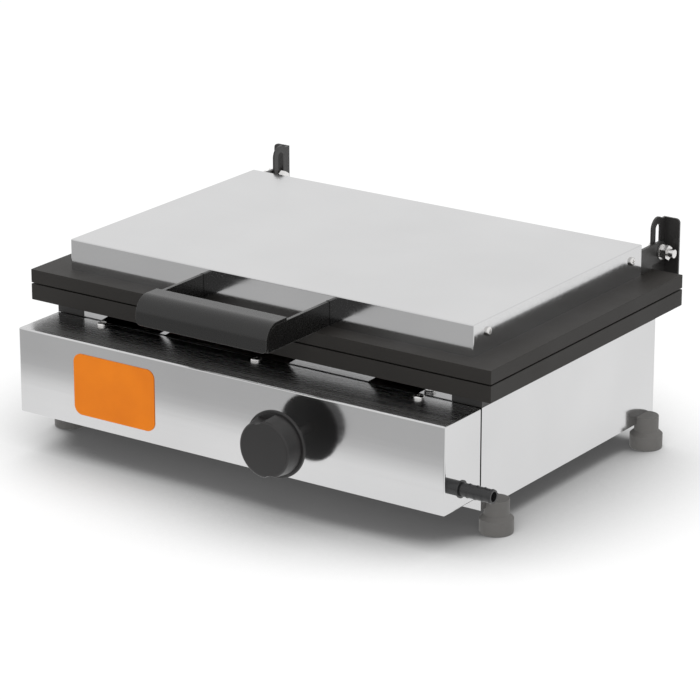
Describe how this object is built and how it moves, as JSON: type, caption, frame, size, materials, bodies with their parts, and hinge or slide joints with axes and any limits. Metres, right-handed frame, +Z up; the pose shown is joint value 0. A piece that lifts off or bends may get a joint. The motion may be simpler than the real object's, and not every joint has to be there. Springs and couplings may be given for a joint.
{
  "type": "gas panini press",
  "caption": "Countertop gas contact grill with smooth plates, a hinged rising lid with a bent strap handle, a front control knob and a side hose barb.",
  "frame": {"origin": "on the table, under the centre of the cooking plates", "axes": "+X across the width to the right of a cook facing the knob, -Y towards the cook, +Z up"},
  "size_m": [0.5265, 0.44, 0.2046],
  "materials": {
    "plate_coat": "dark non-stick coated cast plate",
    "polished_steel": "bright polished stainless sheet",
    "dull_steel": "dull mill-finish sheet",
    "frame_black": "satin black coated sheet",
    "screw_steel": "plated fastener steel",
    "burner_steel": "heat-darkened steel tube",
    "valve_brass": "machined brass",
    "copper_probe": "drawn copper tube",
    "foot_rubber": "matt grey moulded rubber",
    "knob_plastic": "satin black moulded plastic",
    "black_barb": "blackened steel hose tail",
    "handle_black": "satin black coated steel strip",
    "orange_badge": "smooth orange plate, blank",
    "black_mark": "black enamel dot"
  },
  "bodies": {
    "base": {"lower_plate": "plate_coat", "body_shell": "polished_steel", "rear_wall": "polished_steel", "plate_frame": "frame_black", "heat_shield": "dull_steel", "plate_angles": "dull_steel", "plate_screws": "screw_steel", "foot_front_left": "foot_rubber", "foot_front_right": "foot_rubber", "foot_rear_left": "foot_rubber", "foot_rear_right": "foot_rubber", "front_box": "polished_steel", "box_hanger": "dull_steel", "box_screws": "screw_steel", "badge": "orange_badge", "index_dot": "black_mark", "valve_body": "valve_brass", "gland_nut": "valve_brass", "valve_bracket": "dull_steel", "thermocouple": "copper_probe", "hose_barb": "black_barb", "barb_nut": "screw_steel", "supply_pipe": "copper_probe", "burner_pipe": "copper_probe", "injector_elbow": "valve_brass", "injector": "valve_brass", "injector_post": "dull_steel", "air_shutter": "dull_steel", "burner": "burner_steel", "cradle_left": "dull_steel", "cradle_right": "dull_steel", "hinge_bracket_left": "frame_black", "hinge_bracket_right": "frame_black", "bracket_screws": "screw_steel"},
    "valve_plug": {"valve_plug": "valve_brass"},
    "knob": {"valve_stem": "screw_steel", "knob": "knob_plastic"},
    "pivot": {"pivot_bolt_left": "screw_steel", "pivot_bolt_right": "screw_steel", "pivot_washer_left": "screw_steel", "pivot_washer_right": "screw_steel", "pivot_nut_left": "screw_steel", "pivot_nut_right": "screw_steel"},
    "lid": {"upper_plate": "plate_coat", "lid_cover": "polished_steel", "lid_arm_left": "frame_black", "lid_arm_right": "frame_black", "cover_tabs": "dull_steel", "flange_screws": "screw_steel", "cover_screws": "screw_steel", "handle_arm_left": "handle_black", "handle_arm_right": "handle_black", "handle_grip": "handle_black"}
  },
  "joints": [
    {"name": "valve_turn", "type": "hinge", "parent": "base", "child": "valve_plug", "pos_m": [0.075, -0.18, 0.0774], "axis": [0, -1, 0], "range_deg": [0, 180]},
    {"name": "knob_push", "type": "slide", "parent": "valve_plug", "child": "knob", "axis": [0, 1, 0], "range_m": [0, 0.004], "stiffness_N_per_m": 800, "springref_m": -0.001},
    {"name": "lid_rise", "type": "slide", "parent": "base", "child": "pivot", "axis": [0, 0, 1], "range_m": [0, 0.0215]},
    {"name": "lid_hinge", "type": "hinge", "parent": "pivot", "child": "lid", "pos_m": [0, 0.1773, 0.1722], "axis": [-1, 0, 0], "range_deg": [0, 95]}
  ]
}
